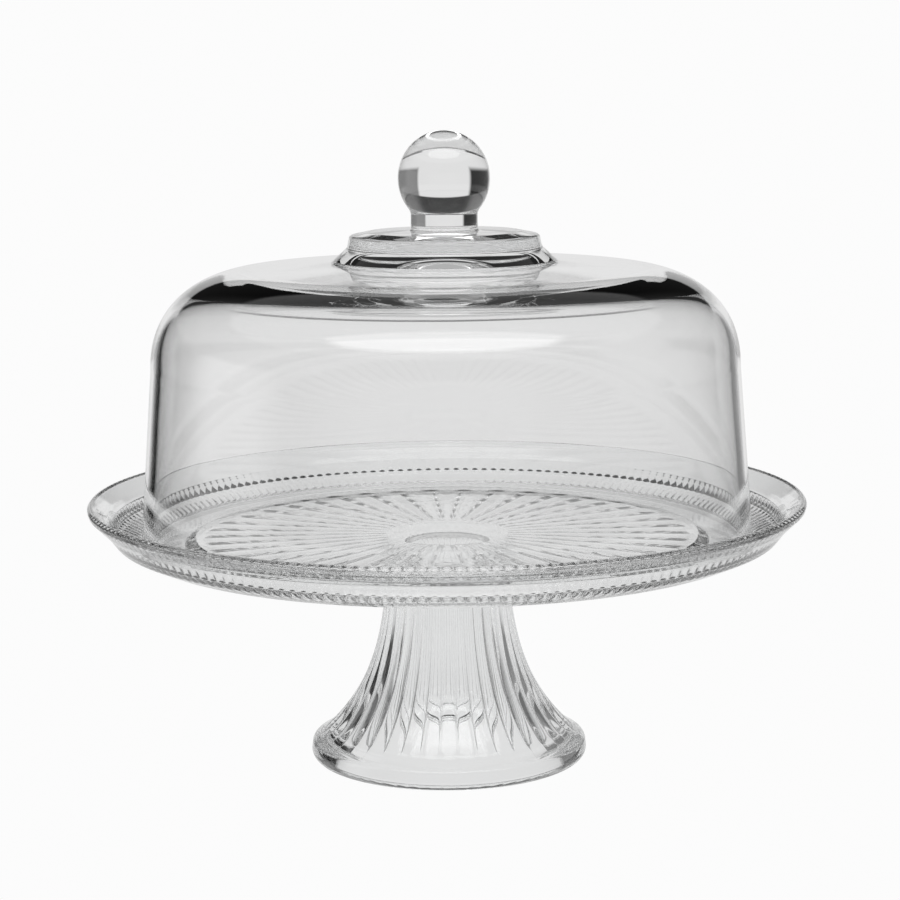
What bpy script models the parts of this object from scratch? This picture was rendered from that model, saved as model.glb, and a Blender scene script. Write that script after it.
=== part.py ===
"""Footed cake plate of pressed clear glass, with a clear glass dome that lifts off.

The stand is two pressings fused together: the cake plate and the hollow fluted pedestal.
The dome is two more: the thin blown shell, and the solid knob with its neck and collar.
The origin is the centre of the foot, on the table. +Z points up the common axis.
"""

import math

import bpy

MM = 0.001  # outlines below are in millimetres, as (radius, height)
JOINT_GAP = 0.3  # left between two pressings where they meet

# Cake plate
RIM_RADIUS = 160.0
RIM_HEIGHT = 121.0
RIM_LIP = 1.3  # rounding of the rim's edge
STEP_RADIUS = 151.0  # where the flared rim drops to the ribbed wall
STEP_HEIGHT = 115.2
WALL_RADIUS = 148.4  # ribbed wall, just under the row of beads
WALL_HEIGHT = 108.6
GUTTER_RADIUS = 137.8  # outer edge of the flat channel that the dome stands in
GUTTER_INNER_RADIUS = 117.0
GUTTER_HEIGHT = 101.8
PLATEAU_RADIUS = 112.5  # raised flat that carries the cake
PLATEAU_HEIGHT = 104.2
UNDERSIDE_HEIGHT = 96.8
PLATE_SEGMENTS = 48

# Pedestal
PEDESTAL_TOP = UNDERSIDE_HEIGHT - JOINT_GAP
STEM_RADIUS = 27.6
FLARE_RADIUS = 57.8  # where the flutes end above the foot ring
FLARE_HEIGHT = 11.0
FOOT_RADIUS = 62.6
FOOT_CONTACT_RADIUS = 55.5
FOOT_INNER_RADIUS = 50.0
HOLLOW_TOP = 84.0
HOLLOW_STEM_RADIUS = 21.0
FLUTES = 40
FLUTE_DEPTH = 0.9

# Dome shell
DOME_BASE_RADIUS = 136.6
DOME_BASE_HEIGHT = GUTTER_HEIGHT + JOINT_GAP
SHOULDER_RADIUS = 130.5
SHOULDER_HEIGHT = 178.6
CROWN_RADIUS = 91.0
CROWN_HEIGHT = 221.9
CROWN_TOP = 226.6
DOME_WALL = 4.4
CROWN_WALL = 5.4
DOME_SEGMENTS = 48

# Knob
BALL_RADIUS = 20.3
BALL_HALF_HEIGHT = 21.0  # the ball is a little taller than it is wide
BALL_CENTRE = 261.4
NECK_RADIUS = 14.8
COLLAR_RADIUS = 50.2
COLLAR_TOP_RADIUS = 42.0
COLLAR_TOP = 238.2
KNOB_SEGMENTS = 32

CLEAR_GLASS = (0.93, 0.95, 0.95, 1.0)


def bezier(start, handle_a, handle_b, end, steps):
    """Points along a cubic curve, both ends included."""
    points = []
    for i in range(steps + 1):
        t = i / steps
        weights = ((1 - t) ** 3, 3 * t * (1 - t) ** 2, 3 * t * t * (1 - t), t**3)
        corners = (start, handle_a, handle_b, end)
        points.append(tuple(sum(w * c[k] for w, c in zip(weights, corners)) for k in (0, 1)))
    return points


def rounded(corners, degrees_per_step=30):
    """An outline through corners (radius, height, fillet), each fillet drawn as an arc."""
    points = []
    for i, (r, z, fillet) in enumerate(corners):
        if fillet == 0:
            points.append((r, z))
            continue
        before = (corners[i - 1][0] - r, corners[i - 1][1] - z)
        after = (corners[i + 1][0] - r, corners[i + 1][1] - z)
        towards_before = math.atan2(before[1], before[0])
        towards_after = math.atan2(after[1], after[0])
        turn = (towards_after - towards_before + math.pi) % (2 * math.pi) - math.pi
        bisector = towards_before + turn / 2
        reach = fillet / math.sin(abs(turn) / 2)
        centre = (r + reach * math.cos(bisector), z + reach * math.sin(bisector))
        sweep = math.pi - abs(turn)
        steps = max(2, round(math.degrees(sweep) / degrees_per_step))
        side = -math.copysign(1, turn)
        for k in range(steps + 1):
            angle = bisector + math.pi + side * sweep * (k / steps - 0.5)
            points.append((centre[0] + fillet * math.cos(angle), centre[1] + fillet * math.sin(angle)))
    return points


def glass(name, roughness):
    """Clear, colourless pressed glass."""
    material = bpy.data.materials.new(name)
    material.use_nodes = True
    shader = material.node_tree.nodes["Principled BSDF"]
    shader.inputs["Base Color"].default_value = CLEAR_GLASS
    shader.inputs["Roughness"].default_value = roughness
    shader.inputs["Metallic"].default_value = 0.0
    shader.inputs["IOR"].default_value = 1.5
    shader.inputs["Transmission Weight"].default_value = 1.0
    material.diffuse_color = CLEAR_GLASS[:3] + (0.35,)
    return material


def turned(name, outline, segments, closed=False):
    """A solid of revolution about Z. An open outline starts and ends on the axis."""
    mesh = bpy.data.meshes.new(name)
    edges = [(i, i + 1) for i in range(len(outline) - 1)]
    if closed:
        edges.append((len(outline) - 1, 0))
    mesh.from_pydata([(r * MM, 0, z * MM) for r, z in outline], edges, [])
    turned_object = bpy.data.objects.new(name, mesh)
    screw = turned_object.modifiers.new("turn", "SCREW")
    screw.axis = "Z"
    screw.angle = math.tau
    screw.steps = segments
    screw.render_steps = segments
    screw.use_merge_vertices = True
    screw.merge_threshold = 0.00001
    screw.use_smooth_shade = True
    return turned_object


def applied(source):
    """The object with its modifiers made into mesh."""
    graph = bpy.context.evaluated_depsgraph_get()
    mesh = bpy.data.meshes.new_from_object(source.evaluated_get(graph))
    source.modifiers.clear()
    source.data = mesh
    return source


def flute(pedestal):
    """Presses flutes into the flare by moving every other column of the outer wall inwards."""
    for vertex in pedestal.data.vertices:
        radius = math.hypot(vertex.co.x, vertex.co.y) / MM
        height = vertex.co.z / MM
        on_flare = FLARE_HEIGHT < height < PEDESTAL_TOP - 1 and radius > flare_radius(height) - 1
        if not on_flare:
            continue
        angle = math.atan2(vertex.co.y, vertex.co.x)
        depth = FLUTE_DEPTH * (1 - math.cos(FLUTES * angle)) / 2
        vertex.co.x *= 1 - depth / radius
        vertex.co.y *= 1 - depth / radius


def flare_outline():
    """The outside of the pedestal, from under the plate down to the foot ring."""
    return bezier((STEM_RADIUS, PEDESTAL_TOP), (STEM_RADIUS, 62.0), (33.0, 33.0), (FLARE_RADIUS, FLARE_HEIGHT), 9)


def flare_radius(height):
    """Radius of the pedestal's outside at this height."""
    outline = flare_outline()
    for (r0, z0), (r1, z1) in zip(outline, outline[1:]):
        if z1 <= height <= z0:
            return r0 + (r1 - r0) * (height - z0) / (z1 - z0)
    return FLARE_RADIUS


def plate_outline():
    """Cake plate: raised flat, gutter for the dome, ribbed wall, flared rim, and the underside back in."""
    top = [
        (0, PLATEAU_HEIGHT, 0),
        (PLATEAU_RADIUS, PLATEAU_HEIGHT, 2.4),
        (GUTTER_INNER_RADIUS, GUTTER_HEIGHT, 2.0),
        (GUTTER_RADIUS, GUTTER_HEIGHT, 1.5),
        (WALL_RADIUS, WALL_HEIGHT, 0),
        (WALL_RADIUS + 0.6, STEP_HEIGHT - 2.6, 1.2),
        (STEP_RADIUS, STEP_HEIGHT, 2.0),
        (RIM_RADIUS - 1.6, RIM_HEIGHT, RIM_LIP),
        (RIM_RADIUS + 0.2, RIM_HEIGHT - 1.6, RIM_LIP),
    ]
    under = [
        (RIM_RADIUS - 0.4, RIM_HEIGHT - 3.8, 1.6),
        (152.2, 109.6, 4.0),
        (147.6, 103.6, 5.0),
        (137.0, 99.0, 8.0),
        (118.0, UNDERSIDE_HEIGHT, 0),
        (0, UNDERSIDE_HEIGHT, 0),
    ]
    return rounded(top + under)


def pedestal_outline():
    """Hollow fluted pedestal: the flare, the thick rounded foot ring, and the hollow back up to the axis."""
    foot = rounded(
        [
            (FLARE_RADIUS, FLARE_HEIGHT, 0),
            (FOOT_RADIUS - 0.9, 9.4, 2.6),
            (FOOT_RADIUS + 0.4, 1.4, 4.2),
            (FOOT_CONTACT_RADIUS, 0, 0),
            (FOOT_INNER_RADIUS, 0, 0),
            (FOOT_INNER_RADIUS - 1.2, 6.0, 0),
        ]
    )
    hollow = bezier((47.5, 9.0), (29.0, 26.0), (22.5, 46.0), (HOLLOW_STEM_RADIUS, 74.0), 6)
    dimple = bezier((HOLLOW_STEM_RADIUS, 74.0), (20.6, 81.0), (14.0, HOLLOW_TOP), (0, HOLLOW_TOP), 4)
    return [(0, PEDESTAL_TOP)] + flare_outline() + foot[1:] + hollow + dimple[1:]


def crown_outline():
    """Top of the dome shell, from the axis out to where the shoulder starts."""
    return bezier((0, CROWN_TOP), (26.0, CROWN_TOP), (52.0, 224.9), (CROWN_RADIUS, CROWN_HEIGHT), 7)


def dome_outline():
    """Dome shell: crown, round shoulder, slightly tapered wall, rounded base and the inside back up."""
    shoulder_start = (CROWN_RADIUS, CROWN_HEIGHT)
    shoulder_end = (SHOULDER_RADIUS, SHOULDER_HEIGHT)
    outside = crown_outline() + bezier(shoulder_start, (102.0, 221.0), (130.8, 212.6), shoulder_end, 9)[1:]
    ceiling = [(r * 0.94, z - CROWN_WALL) for r, z in crown_outline()]
    wall_top = (SHOULDER_RADIUS - DOME_WALL, SHOULDER_HEIGHT)
    inside = ceiling + bezier(ceiling[-1], (104.0, 215.3), (wall_top[0] + 0.4, 209.0), wall_top, 9)[1:]
    base = rounded(
        [
            (SHOULDER_RADIUS, SHOULDER_HEIGHT, 0),
            (DOME_BASE_RADIUS, DOME_BASE_HEIGHT, 1.8),
            (DOME_BASE_RADIUS - DOME_WALL, DOME_BASE_HEIGHT, 1.8),
            (inside[-1][0], inside[-1][1], 0),
        ]
    )
    return outside + base[1:-1] + inside[::-1]


def knob_outline():
    """Solid ball, short neck, stepped collar, and an underside that follows the crown."""
    ball_end = math.asin((NECK_RADIUS + 0.6) / BALL_RADIUS)
    steps = 10
    ball = []
    for i in range(steps + 1):
        angle = (math.pi - ball_end) * i / steps
        ball.append((BALL_RADIUS * math.sin(angle), BALL_CENTRE + BALL_HALF_HEIGHT * math.cos(angle)))
    collar = rounded(
        [
            (NECK_RADIUS, ball[-1][1] - 1.4, 0),
            (NECK_RADIUS, COLLAR_TOP + 0.3, 1.6),
            (COLLAR_TOP_RADIUS - 8.0, COLLAR_TOP, 0),
            (COLLAR_TOP_RADIUS, COLLAR_TOP - 1.6, 1.6),
            (COLLAR_TOP_RADIUS + 1.0, 231.4, 3.0),
            (COLLAR_RADIUS, 226.2, 0),
        ]
    )
    crown = [(r, z + JOINT_GAP) for r, z in crown_outline() if r < COLLAR_RADIUS - 2]
    return ball + collar + [(COLLAR_RADIUS, 225.3)] + crown[::-1]


def build():
    """Clears the scene and makes the four pressings, each its own solid on the common axis."""
    for old in list(bpy.data.objects):
        bpy.data.objects.remove(old)
    parts = bpy.data.collections.new("cake_stand_dome")
    bpy.context.scene.collection.children.link(parts)

    stand = bpy.data.objects.new("stand", None)
    dome = bpy.data.objects.new("dome", None)
    dome.location.z = DOME_BASE_HEIGHT * MM
    pieces = {
        "cake_plate": (turned("cake_plate", plate_outline(), PLATE_SEGMENTS), stand, 0.02),
        "pedestal": (turned("pedestal", pedestal_outline(), 2 * FLUTES), stand, 0.02),
        "dome_shell": (turned("dome_shell", dome_outline(), DOME_SEGMENTS), dome, 0.0),
        "dome_knob": (turned("dome_knob", knob_outline(), KNOB_SEGMENTS), dome, 0.0),
    }
    for empty in (stand, dome):
        parts.objects.link(empty)
    for name, (piece, body, roughness) in pieces.items():
        parts.objects.link(piece)
        applied(piece)
        piece.data.materials.append(glass(name + "_glass", roughness))
        piece.data.shade_smooth()
        piece.data.set_sharp_from_angle(angle=math.radians(35))
        piece.parent = body
        piece.matrix_parent_inverse = body.matrix_basis.inverted()
    flute(pieces["pedestal"][0])


build()
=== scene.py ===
"""Looks of the clear glass cake stand and its dome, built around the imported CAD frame.

Each of the four pressings is turned again as a fine mesh, with the ribs and beads that the CAD solids
leave out and finer flutes. Outlines are (radius, height) in millimetres, as in the CAD.
"""

import math

import bpy
import numpy as np
from mathutils import Matrix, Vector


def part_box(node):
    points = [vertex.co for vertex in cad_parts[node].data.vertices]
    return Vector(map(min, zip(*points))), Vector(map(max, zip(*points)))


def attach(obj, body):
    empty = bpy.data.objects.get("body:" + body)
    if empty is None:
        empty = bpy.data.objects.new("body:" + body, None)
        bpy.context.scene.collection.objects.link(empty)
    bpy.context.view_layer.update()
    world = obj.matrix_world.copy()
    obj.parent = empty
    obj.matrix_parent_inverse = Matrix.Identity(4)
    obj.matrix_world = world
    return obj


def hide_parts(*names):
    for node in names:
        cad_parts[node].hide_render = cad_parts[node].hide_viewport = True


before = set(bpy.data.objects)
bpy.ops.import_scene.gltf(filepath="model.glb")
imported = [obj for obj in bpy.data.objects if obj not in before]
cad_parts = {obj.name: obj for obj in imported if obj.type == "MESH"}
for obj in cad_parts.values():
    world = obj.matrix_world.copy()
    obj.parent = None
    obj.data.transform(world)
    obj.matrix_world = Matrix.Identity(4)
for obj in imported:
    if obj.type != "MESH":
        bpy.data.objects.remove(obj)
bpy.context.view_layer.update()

MM = 0.001

# Sizes read from the frame
PLATE_LOW, PLATE_HIGH = (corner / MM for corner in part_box("cake_plate"))
FOOT_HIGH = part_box("pedestal")[1] / MM
DOME_LOW, DOME_HIGH = (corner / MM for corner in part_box("dome_shell"))
KNOB_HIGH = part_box("dome_knob")[1] / MM
RIM_RADIUS = PLATE_HIGH.x
RIM_HEIGHT = PLATE_HIGH.z
UNDERSIDE = PLATE_LOW.z
FOOT_RADIUS = FOOT_HIGH.x
DOME_RADIUS = DOME_HIGH.x
DOME_BASE = DOME_LOW.z
CROWN_TOP = DOME_HIGH.z
BALL_TOP = KNOB_HIGH.z

# Cake plate
PLATEAU_HEIGHT = 104.2
GUTTER_HEIGHT = DOME_BASE - 0.3
RIBS = 192  # beads and ribs round the inside of the wall
RIB_COLUMNS = 7  # mesh columns to a rib
BEAD_HEIGHTS = (106.6, 111.6)  # the beads lie between these two heights
BEAD_DEPTH = 0.6
RIB_ZONE = (137.6, 147.4)  # and the ribs between these two radii
RIB_DEPTH = 0.45
WALL_TOP_RADIUS = 149.4
FLUTES = 40  # the same number under the plate and round the pedestal
UNDER_FLUTE_ZONE = (29.5, 108.0)
UNDER_FLUTE_DEPTH = 0.6

# Pedestal
STEM_RADIUS = 27.6
FLARE_RADIUS = 57.8
FLARE_HEIGHT = 11.0
FLUTE_DEPTH = 0.9
FLUTE_COLUMNS = 24  # mesh columns to a flute

# Dome and knob
SHOULDER = (130.5, 178.6)
CROWN_EDGE = (91.0, 221.9)
DOME_WALL = 4.4
CROWN_WALL = 5.4
CEILING_SHARE = 0.94  # width of the flat inside the crown, against the crown's own
DOME_COLUMNS = 256
BALL_RADIUS = 20.3
BALL_HALF_HEIGHT = 21.0
NECK_RADIUS = 14.8
COLLAR_RADIUS = 50.2
COLLAR_TOP = 238.2
COLLAR_TOP_RADIUS = 42.0


# ---------------------------------------------------------------- outlines


def bezier(start, handle_a, handle_b, end, steps):
    """Points along a cubic curve, both ends included."""
    t = np.linspace(0, 1, steps + 1)[:, None]
    corners = [np.array(c, float) for c in (start, handle_a, handle_b, end)]
    weights = ((1 - t) ** 3, 3 * t * (1 - t) ** 2, 3 * t * t * (1 - t), t**3)
    return [tuple(p) for p in sum(w * c for w, c in zip(weights, corners))]


def rounded(corners, degrees_per_step=8):
    """An outline through corners (radius, height, fillet), each fillet drawn as an arc."""
    points = []
    for i, (r, z, fillet) in enumerate(corners):
        if fillet == 0:
            points.append((r, z))
            continue
        before = math.atan2(corners[i - 1][1] - z, corners[i - 1][0] - r)
        after = math.atan2(corners[i + 1][1] - z, corners[i + 1][0] - r)
        turn = (after - before + math.pi) % math.tau - math.pi
        bisector = before + turn / 2
        reach = fillet / math.sin(abs(turn) / 2)
        centre = (r + reach * math.cos(bisector), z + reach * math.sin(bisector))
        sweep = math.pi - abs(turn)
        steps = max(2, round(math.degrees(sweep) / degrees_per_step))
        side = -math.copysign(1, turn)
        for k in range(steps + 1):
            angle = bisector + math.pi + side * sweep * (k / steps - 0.5)
            points.append((centre[0] + fillet * math.cos(angle), centre[1] + fillet * math.sin(angle)))
    return points


def spaced(points, longest):
    """The outline with extra points, so that no step is longer than this."""
    dense = [points[0]]
    for (r0, z0), (r1, z1) in zip(points, points[1:]):
        steps = max(1, math.ceil(math.hypot(r1 - r0, z1 - z0) / longest))
        dense += [(r0 + (r1 - r0) * k / steps, z0 + (z1 - z0) * k / steps) for k in range(1, steps + 1)]
    return dense


def plate_outlines():
    """The plate's smooth top from the axis to the rim's edge, and its underside back to the axis."""
    tip = (RIM_RADIUS, RIM_HEIGHT - 1.7, 1.2)
    edge = [(RIM_RADIUS - 1.6, RIM_HEIGHT, 1.2), tip, (RIM_RADIUS - 0.4, RIM_HEIGHT - 3.8, 1.6)]
    wall = [(147.8, 106.6, 0.8), (149.0, 112.4, 1.2), (151.0, 115.2, 1.5)]
    top = [(0, PLATEAU_HEIGHT, 0), (112.5, PLATEAU_HEIGHT, 2.4), (117.0, GUTTER_HEIGHT, 2.0)]
    top += [(137.4, GUTTER_HEIGHT, 1.5)] + wall + edge
    under = [(152.2, 109.6, 4.0), (147.6, 103.6, 5.0), (137.0, 99.0, 8.0)]
    under += [(118.0, UNDERSIDE, 0), (0, UNDERSIDE, 0)]
    points = rounded(top + under)
    outermost = max(range(len(points)), key=lambda i: points[i][0])
    return points[: outermost + 1], points[outermost:]


def pedestal_outlines():
    """The fluted outside from the plate down to the foot ring, then the foot ring and the hollow."""
    flare_end = (FLARE_RADIUS, FLARE_HEIGHT)
    flare = bezier((STEM_RADIUS, UNDERSIDE), (STEM_RADIUS, 62.0), (33.0, 33.0), flare_end, 56)
    foot = rounded(
        [
            (FLARE_RADIUS, FLARE_HEIGHT, 0),
            (FOOT_RADIUS - 0.7, 9.4, 2.6),
            (FOOT_RADIUS + 0.5, 1.4, 4.2),
            (56.5, 0, 1.0),
            (50.6, 0, 1.0),
            (48.8, 6.0, 0),
        ]
    )
    hollow = bezier((47.5, 9.0), (29.0, 26.0), (22.5, 46.0), (21.0, 74.0), 30)
    dimple = bezier((21.0, 74.0), (20.6, 81.0), (14.0, 84.0), (0, 84.0), 14)
    return flare, foot + hollow + dimple[1:]


def crown_outline(steps):
    """Top of the dome shell, from the axis out to where the shoulder starts."""
    return bezier((0, CROWN_TOP), (26.0, CROWN_TOP), (52.0, 224.9), CROWN_EDGE, steps)


def dome_outline():
    """Crown, round shoulder, slightly tapered wall, rounded base, and the inside back to the axis."""
    shoulder = bezier(CROWN_EDGE, (102.0, 221.0), (130.8, 212.6), SHOULDER, 50)
    outside = crown_outline(24) + shoulder[1:]
    ceiling = [(r * CEILING_SHARE, z - CROWN_WALL) for r, z in crown_outline(24)]
    wall_top = (SHOULDER[0] - DOME_WALL, SHOULDER[1])
    inside = ceiling + bezier(ceiling[-1], (104.0, 215.3), (wall_top[0] + 0.4, 209.0), wall_top, 50)[1:]
    base = rounded(
        [
            (*SHOULDER, 0),
            (DOME_RADIUS, DOME_BASE, 1.8),
            (DOME_RADIUS - DOME_WALL, DOME_BASE, 1.8),
            (*inside[-1], 0),
        ]
    )
    return outside + base[1:-1] + inside[::-1]


def knob_outline():
    """Ball, short neck and stepped collar, down to where the collar meets the crown."""
    ball_end = math.asin((NECK_RADIUS + 0.6) / BALL_RADIUS)
    centre = BALL_TOP - BALL_HALF_HEIGHT
    angles = np.linspace(0, math.pi - ball_end, 48)
    ball = [(BALL_RADIUS * math.sin(a), centre + BALL_HALF_HEIGHT * math.cos(a)) for a in angles]
    collar = rounded(
        [
            (NECK_RADIUS, ball[-1][1] - 1.4, 0),
            (NECK_RADIUS, COLLAR_TOP + 0.3, 1.6),
            (34.0, COLLAR_TOP, 0),
            (COLLAR_TOP_RADIUS, COLLAR_TOP - 1.6, 1.6),
            (COLLAR_TOP_RADIUS + 1.0, 231.4, 3.0),
            (COLLAR_RADIUS, crown_height(COLLAR_RADIUS), 0),
        ]
    )
    return ball + collar


def crown_height(radius):
    """Height of the crown's top at this radius."""
    crown = np.array(crown_outline(24))
    return float(np.interp(radius, crown[:, 0], crown[:, 1]))


# ---------------------------------------------------------------- turned meshes


def scallop(angle, count, sharpness=1.0):
    """From 0 in the groove between two ribs to 1 on top of a rib."""
    return np.abs(np.cos(count * angle / 2)) ** sharpness


def zone(radius, low, high, fade):
    """1 between two radii, fading to 0 over this distance inside each end."""
    return np.clip((radius - low) / fade, 0, 1) * np.clip((high - radius) / fade, 0, 1)


def no_relief(radius, height, angle):
    """A smooth face."""
    return np.zeros(np.broadcast(radius, angle).shape)


def wall_relief(radius, height, angle):
    """A row of beads over a band of short ribs round the inside of the wall."""
    across = np.clip((height - BEAD_HEIGHTS[0]) / (BEAD_HEIGHTS[1] - BEAD_HEIGHTS[0]), 0, 1)
    beads = BEAD_DEPTH * np.sqrt(np.sin(math.pi * across)) * scallop(angle, RIBS, 0.7)
    ribs = RIB_DEPTH * zone(radius, *RIB_ZONE, 1.0) * (scallop(angle, RIBS, 0.8) - 0.5)
    return beads + ribs


def under_plate_relief(radius, height, angle):
    """Narrow grooves that run out under the raised flat."""
    groove = scallop(angle, FLUTES, 0.45) - 1
    return UNDER_FLUTE_DEPTH * zone(radius, *UNDER_FLUTE_ZONE, 4.0) * groove


def pedestal_relief(radius, height, angle):
    """Grooves that run down the flare and fade out at both ends."""
    share_top = np.clip((UNDERSIDE - 1.5 - height) / 6, 0, 1)
    share = share_top * np.clip((height - FLARE_HEIGHT) / 5, 0, 1)
    return FLUTE_DEPTH * share * (scallop(angle, FLUTES, 0.35) - 1)


def turned(name, sections):
    """A closed solid of revolution, as an object.

    A section is (outline, columns, relief, material index). Each outline starts where the one before
    ends, and neighbouring sections' columns differ by a factor of 1 or a power of 2.
    """
    rings = []
    for outline, columns, relief, slot in sections:
        points = np.array(outline, float)
        run = np.gradient(points, axis=0)
        run /= np.maximum(np.linalg.norm(run, axis=1), 1e-9)[:, None]
        outward = np.column_stack([-run[:, 1], run[:, 0]])
        angle = np.arange(columns) * math.tau / columns
        first = 1 if rings else 0
        for (r, z), (out_r, out_z) in list(zip(points, outward))[first:]:
            lift = relief(np.array([[r]]), z, angle[None, :])[0]
            radius = r + out_r * lift
            height = z + out_z * lift
            if r < 1e-6:
                rings.append((np.array([[0, 0, z]]) * MM, slot))
                continue
            ring = np.column_stack([radius * np.cos(angle), radius * np.sin(angle), height]) * MM
            rings.append((ring, slot))
    vertices = np.concatenate([ring for ring, _ in rings])
    starts = np.concatenate([[0], np.cumsum([len(ring) for ring, _ in rings])])
    faces = []
    slots = []
    for k in range(len(rings) - 1):
        strip = joined(starts[k], len(rings[k][0]), starts[k + 1], len(rings[k + 1][0]))
        faces += strip
        slots += [rings[k + 1][1]] * len(strip)
    mesh = bpy.data.meshes.new(name)
    mesh.from_pydata(vertices.tolist(), [], faces)
    mesh.polygons.foreach_set("material_index", slots)
    mesh.polygons.foreach_set("use_smooth", [True] * len(faces))
    mesh.update()
    piece = bpy.data.objects.new(name, mesh)
    bpy.context.scene.collection.objects.link(piece)
    return piece


def joined(start_a, count_a, start_b, count_b):
    """Faces between two rings, whose numbers of points may differ by a power of 2."""
    if count_a == count_b:
        j = np.arange(count_a)
        k = (j + 1) % count_a
        return np.column_stack([start_a + j, start_b + j, start_b + k, start_a + k]).tolist()
    if count_b == 1:
        j = np.arange(count_a)
        centre = np.full(count_a, start_b)
        return np.column_stack([start_a + j, centre, start_a + (j + 1) % count_a]).tolist()
    if count_a == 1:
        j = np.arange(count_b)
        centre = np.full(count_b, start_a)
        return np.column_stack([centre, start_b + j, start_b + (j + 1) % count_b]).tolist()
    if count_a < count_b:
        return [face[::-1] for face in joined(start_b, count_b, start_a, count_a)]
    faces = []
    many = count_a // count_b
    for j in range(count_b):
        fan = [start_a + j * many + i for i in range(many)] + [start_a + (j + 1) * many % count_a]
        here = start_b + j
        after = start_b + (j + 1) % count_b
        half = many // 2
        faces.append([here] + fan[: half + 1][::-1])
        faces.append([here, after, fan[half]])
        faces.append([after] + fan[half:][::-1])
    return faces


# ---------------------------------------------------------------- materials


GLASS_IOR = 1.5


def add_node(tree, kind, **inputs):
    """A node, with its inputs set by name: a value, or a socket to link."""
    node = tree.nodes.new(kind)
    for name, value in inputs.items():
        socket = node.inputs[name]
        if isinstance(value, bpy.types.NodeSocket):
            tree.links.new(value, socket)
        else:
            socket.default_value = value
    return node


def glass(name, tint, ripple_size, ripple_depth, haze):
    """Clear glass with a faint ripple left by the mould and a trace of haze in patches."""
    material = bpy.data.materials.new(name)
    material.use_nodes = True
    tree = material.node_tree
    shader = tree.nodes["Principled BSDF"]
    shader.inputs["Transmission Weight"].default_value = 1.0
    shader.inputs["IOR"].default_value = GLASS_IOR
    shader.inputs["Specular IOR Level"].default_value = 0.5
    place = tree.nodes.new("ShaderNodeTexCoord").outputs["Object"]
    ripple = add_node(tree, "ShaderNodeTexNoise", Vector=place, Scale=1 / ripple_size, Detail=2.0)
    lift = ripple.outputs["Fac"]
    bump = add_node(tree, "ShaderNodeBump", Strength=0.25, Distance=ripple_depth, Height=lift)
    tree.links.new(bump.outputs["Normal"], shader.inputs["Normal"])
    patches = add_node(tree, "ShaderNodeTexNoise", Vector=place, Scale=18.0, Detail=3.0)
    film = tree.nodes.new("ShaderNodeMapRange")
    tree.links.new(patches.outputs["Fac"], film.inputs["Value"])
    film.inputs["From Min"].default_value = 0.45
    film.inputs["From Max"].default_value = 0.8
    film.inputs["To Min"].default_value = 0.0
    film.inputs["To Max"].default_value = haze
    tree.links.new(film.outputs["Result"], shader.inputs["Roughness"])
    ramp = tree.nodes.new("ShaderNodeValToRGB")
    ramp.color_ramp.elements[0].color = (*tint, 1)
    ramp.color_ramp.elements[1].color = (*(min(1.0, c + 0.01) for c in tint), 1)
    tree.links.new(patches.outputs["Fac"], ramp.inputs["Fac"])
    tree.links.new(ramp.outputs["Color"], shader.inputs["Base Color"])
    return material


def fused_joint():
    """Where two pressings are fused the glass is continuous, so the faces there don't show."""
    material = bpy.data.materials.new("fused_joint")
    material.use_nodes = True
    tree = material.node_tree
    tree.nodes.remove(tree.nodes["Principled BSDF"])
    clear = tree.nodes.new("ShaderNodeBsdfTransparent")
    tree.links.new(clear.outputs["BSDF"], tree.nodes["Material Output"].inputs["Surface"])
    return material


# ---------------------------------------------------------------- pieces

WALL_SLOT, JOINT_SLOT = 0, 1  # material slots: the glass itself, and the fused faces


def split_at(outline, radius):
    """The outline cut in two where it passes this radius, the cut point in both."""
    for k, ((r0, z0), (r1, z1)) in enumerate(zip(outline, outline[1:])):
        if min(r0, r1) < radius < max(r0, r1):
            share = (radius - r0) / (r1 - r0)
            cut = (radius, z0 + (z1 - z0) * share)
            return outline[: k + 1] + [cut], [cut] + outline[k + 1 :]
    raise ValueError("the outline doesn't pass that radius")


def make_plate():
    """The plate, with fine columns only where the beads and ribs need them."""
    top, under = plate_outlines()
    flat, rest = split_at(top, RIB_ZONE[0] - 0.6)
    ribbed, flare = split_at(rest, WALL_TOP_RADIUS)
    smooth, rest = split_at(under, UNDER_FLUTE_ZONE[1] + 1.0)
    fluted, disc = split_at(rest, STEM_RADIUS)
    fine = RIBS * RIB_COLUMNS
    sections = [
        (spaced(flat, 9.0), fine // 4, no_relief, WALL_SLOT),
        (spaced(ribbed, 0.8), fine, wall_relief, WALL_SLOT),
        (spaced(flare, 1.5), fine // 4, no_relief, WALL_SLOT),
        (spaced(smooth, 2.5), fine // 4, no_relief, WALL_SLOT),
        (spaced(fluted, 3.0), fine // 2, under_plate_relief, WALL_SLOT),
        (disc, fine // 2, no_relief, JOINT_SLOT),
    ]
    return turned("pressed_plate", sections)


def make_pedestal():
    """The fluted stem and foot ring, hollow from below."""
    flare, inside = pedestal_outlines()
    columns = FLUTES * FLUTE_COLUMNS
    sections = [
        ([(0, UNDERSIDE), (STEM_RADIUS, UNDERSIDE)], columns, no_relief, JOINT_SLOT),
        (flare, columns, pedestal_relief, WALL_SLOT),
        (spaced(inside, 2.5), columns // 2, no_relief, WALL_SLOT),
    ]
    return turned("fluted_pedestal", sections)


def make_dome():
    """The dome's shell, clear under the collar where the knob is fused on."""
    under_collar, shell = split_at(dome_outline(), COLLAR_RADIUS)
    sections = [
        (spaced(under_collar, 3.0), DOME_COLUMNS, no_relief, JOINT_SLOT),
        (spaced(shell, 2.0), DOME_COLUMNS, no_relief, WALL_SLOT),
    ]
    return turned("clear_dome", sections)


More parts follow.
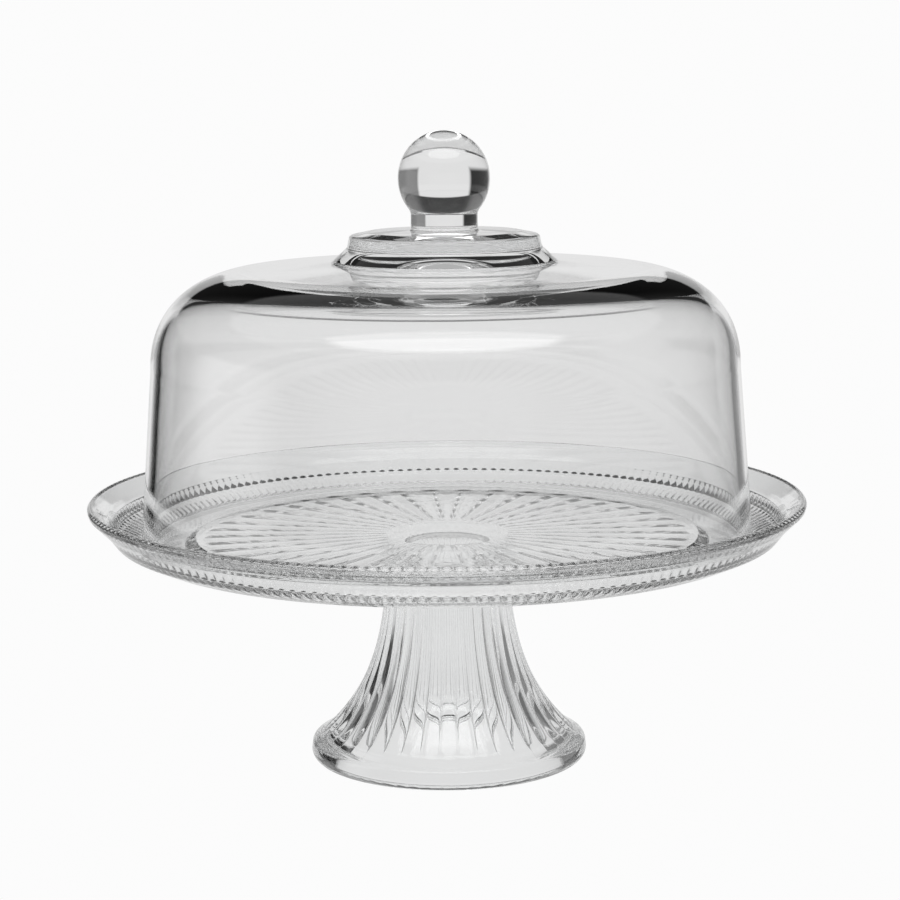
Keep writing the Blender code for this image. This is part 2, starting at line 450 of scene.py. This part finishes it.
def make_knob():
    """The solid ball and collar, closed underneath by the crown's own surface."""
    under_collar, _ = split_at(dome_outline(), COLLAR_RADIUS)
    sections = [
        (spaced(knob_outline(), 1.5), DOME_COLUMNS, no_relief, WALL_SLOT),
        (spaced(under_collar, 3.0)[::-1], DOME_COLUMNS, no_relief, JOINT_SLOT),
    ]
    return turned("ball_knob", sections)


def dress(piece, material, joint, body, node):
    """Gives a piece its glass, and sets it in the frame in place of its CAD node."""
    piece.data.materials.append(material)
    piece.data.materials.append(joint)
    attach(piece, body)
    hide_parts(node)


joint = fused_joint()
pressed = glass("pressed_glass", (0.975, 0.98, 0.98), 0.012, 0.0002, 0.02)
blown = glass("blown_glass", (0.996, 0.997, 0.997), 0.05, 0.0002, 0.004)
dress(make_plate(), pressed, joint, "stand", "cake_plate")
dress(make_pedestal(), pressed, joint, "stand", "pedestal")
dress(make_dome(), blown, joint, "dome", "dome_shell")
dress(make_knob(), blown, joint, "dome", "dome_knob")


# ---------------------------------------------------------------- studio

PAPER = 0.972  # the sweep's brightness, just under white
LEFT_GREY = 0.015  # brightness of the room at each side of the backdrop
RIGHT_GREY = 0.28
FLOOR_SIZE = 30.0  # metres
FLOOR_DROP = 0.0003  # keeps the floor clear of the foot ring
BACKDROP_TOP = 13.0  # degrees above the horizon, as are the next three
GAP_TOP = 36.0
SOFTBOX_LOW = 48.5
TABLE_TOP = -11.0
GAP_BEHIND = 0.03  # brightness of the dark gap straight behind the object
GAP_BESIDE = 0.17  # and away to each side
OVERHEAD_LIGHT = 0.55
FRONT_LIGHT = 0.5
SOFTBOX_LIGHT = 3.0


def calc(tree, operation, a, b=0.0, c=0.0):
    """The result of one Math node."""
    node = tree.nodes.new("ShaderNodeMath")
    node.operation = operation
    for socket, value in zip(node.inputs, (a, b, c)):
        if isinstance(value, bpy.types.NodeSocket):
            tree.links.new(value, socket)
        else:
            socket.default_value = value
    return node.outputs[0]


def step(tree, value, low, high):
    """0 below low, 1 above high, and a smooth rise between them."""
    node = tree.nodes.new("ShaderNodeMapRange")
    node.interpolation_type = "SMOOTHSTEP"
    tree.links.new(value, node.inputs["Value"])
    node.inputs["From Min"].default_value = low
    node.inputs["From Max"].default_value = high
    return node.outputs["Result"]


def band(tree, value, low, high, blur):
    """1 between low and high, with soft ends."""
    rise = step(tree, value, low - blur, low + blur)
    fall = step(tree, value, high - blur, high + blur)
    return calc(tree, "SUBTRACT", rise, fall)


def below(tree, value, low, high):
    """1 below low, 0 above high, and a smooth fall between them."""
    return calc(tree, "SUBTRACT", 1.0, step(tree, value, low, high))


def paper_walls(tree, azimuth, elevation):
    """Lit paper behind the object, at its left and under it, and a darker room beside and in front."""
    turn = calc(tree, "ABSOLUTE", azimuth)
    behind = below(tree, turn, 22.0, 27.0)
    from_left = calc(tree, "ABSOLUTE", calc(tree, "ADD", azimuth, 90.0))
    left_window = below(tree, from_left, 8.0, 30.0)
    front = calc(tree, "MULTIPLY", step(tree, turn, 120.0, 160.0), FRONT_LIGHT)
    table = below(tree, elevation, TABLE_TOP - 3.0, TABLE_TOP + 3.0)
    right_hand = step(tree, azimuth, -5.0, 5.0)
    side = calc(tree, "MULTIPLY", right_hand, RIGHT_GREY - LEFT_GREY)
    walls = calc(tree, "ADD", LEFT_GREY, side)
    for light in (behind, left_window, front, table):
        walls = calc(tree, "MAXIMUM", walls, light)
    sweep = calc(tree, "MULTIPLY", below(tree, elevation, BACKDROP_TOP - 0.8, BACKDROP_TOP + 0.8), walls)
    return calc(tree, "MULTIPLY", sweep, PAPER)


def dark_gap(tree, azimuth, elevation):
    """The unlit room seen over the backdrop's top edge, darkest straight behind the object."""
    beside = step(tree, calc(tree, "ABSOLUTE", azimuth), 20.0, 35.0)
    light = calc(tree, "MULTIPLY", beside, GAP_BESIDE - GAP_BEHIND)
    light = calc(tree, "ADD", light, GAP_BEHIND)
    return calc(tree, "MULTIPLY", band(tree, elevation, BACKDROP_TOP, GAP_TOP, 0.8), light)


def softbox(tree, x, y, z, elevation):
    """A rectangular light overhead, a little in front of the object."""
    up = calc(tree, "MAXIMUM", z, 0.05)
    side = band(tree, calc(tree, "DIVIDE", x, up), -0.7, 0.7, 0.05)
    forward = band(tree, calc(tree, "DIVIDE", y, up), -0.95, -0.25, 0.05)
    light = calc(tree, "MULTIPLY", side, forward)
    light = calc(tree, "MULTIPLY", light, step(tree, elevation, SOFTBOX_LOW - 1.5, SOFTBOX_LOW + 1.5))
    return calc(tree, "MULTIPLY", light, SOFTBOX_LIGHT)


def studio_light(tree):
    """Brightness of the studio by direction; azimuth is 0 straight behind the object."""
    direction = tree.nodes.new("ShaderNodeTexCoord").outputs["Generated"]
    split = add_node(tree, "ShaderNodeSeparateXYZ", Vector=direction)
    x, y, z = (split.outputs[axis] for axis in "XYZ")
    elevation = calc(tree, "MULTIPLY", calc(tree, "ARCSINE", z), 180 / math.pi)
    azimuth = calc(tree, "MULTIPLY", calc(tree, "ARCTAN2", x, y), 180 / math.pi)
    overhead = calc(tree, "MULTIPLY", step(tree, elevation, GAP_TOP - 1.0, GAP_TOP + 2.0), OVERHEAD_LIGHT)
    light = calc(tree, "ADD", paper_walls(tree, azimuth, elevation), dark_gap(tree, azimuth, elevation))
    light = calc(tree, "ADD", light, overhead)
    return calc(tree, "ADD", light, softbox(tree, x, y, z, elevation))


def make_world():
    """White paper for the camera, and the studio's lights and darks for the glass."""
    world = bpy.data.worlds.new("studio")
    bpy.context.scene.world = world
    world.use_nodes = True
    tree = world.node_tree
    tree.nodes.clear()
    seen = add_node(tree, "ShaderNodeBackground", Color=(PAPER, PAPER, PAPER, 1))
    lit = add_node(tree, "ShaderNodeBackground", Strength=studio_light(tree))
    path = tree.nodes.new("ShaderNodeLightPath")
    mix = tree.nodes.new("ShaderNodeMixShader")
    tree.links.new(path.outputs["Is Camera Ray"], mix.inputs[0])
    tree.links.new(lit.outputs[0], mix.inputs[1])
    tree.links.new(seen.outputs[0], mix.inputs[2])
    output = tree.nodes.new("ShaderNodeOutputWorld")
    tree.links.new(mix.outputs[0], output.inputs["Surface"])


def make_floor():
    """A pale sweep of paper that runs past every view's horizon, lit evenly."""
    mesh = bpy.data.meshes.new("paper_floor")
    half = FLOOR_SIZE / 2
    corners = [(-half, -half, 0), (half, -half, 0), (half, half, 0), (-half, half, 0)]
    mesh.from_pydata(corners, [], [(0, 1, 2, 3)])
    floor = bpy.data.objects.new("paper_floor", mesh)
    bpy.context.scene.collection.objects.link(floor)
    floor.location.z = -FLOOR_DROP
    material = bpy.data.materials.new("paper")
    material.use_nodes = True
    tree = material.node_tree
    shader = tree.nodes["Principled BSDF"]
    shader.inputs["Base Color"].default_value = (0, 0, 0, 1)
    shader.inputs["Specular IOR Level"].default_value = 0.0
    shader.inputs["Roughness"].default_value = 1.0
    shader.inputs["Emission Color"].default_value = (PAPER, PAPER, PAPER, 1)
    shader.inputs["Emission Strength"].default_value = 1.0
    mesh.materials.append(material)
    floor.visible_glossy = False
    floor.visible_transmission = False
    floor.visible_diffuse = False


LENS = 99.24
SENSOR = 36.0
CAMERA_PLACE = (0.0016, -1.0957, 0.3173)
LOOK_DOWN = 9.175
ROLL = -0.523


def make_camera():
    """A long lens a little above the plate, looking slightly down."""
    camera = bpy.data.objects.new("camera", bpy.data.cameras.new("camera"))
    bpy.context.scene.collection.objects.link(camera)
    camera.data.lens = LENS
    camera.data.sensor_width = SENSOR
    down = math.radians(90 - LOOK_DOWN)
    roll = math.radians(ROLL)
    aim = Matrix.Rotation(down, 4, "X") @ Matrix.Rotation(roll, 4, "Z")
    camera.matrix_world = Matrix.Translation(CAMERA_PLACE) @ aim
    bpy.context.scene.camera = camera


make_world()
make_floor()
make_camera()

scene = bpy.context.scene
scene.view_settings.view_transform = "Standard"
scene.view_settings.look = "None"
scene.cycles.max_bounces = 32
scene.cycles.transmission_bounces = 32
scene.cycles.glossy_bounces = 16
scene.cycles.transparent_max_bounces = 16
scene.cycles.sample_clamp_indirect = 0.0
scene.cycles.blur_glossy = 0.0
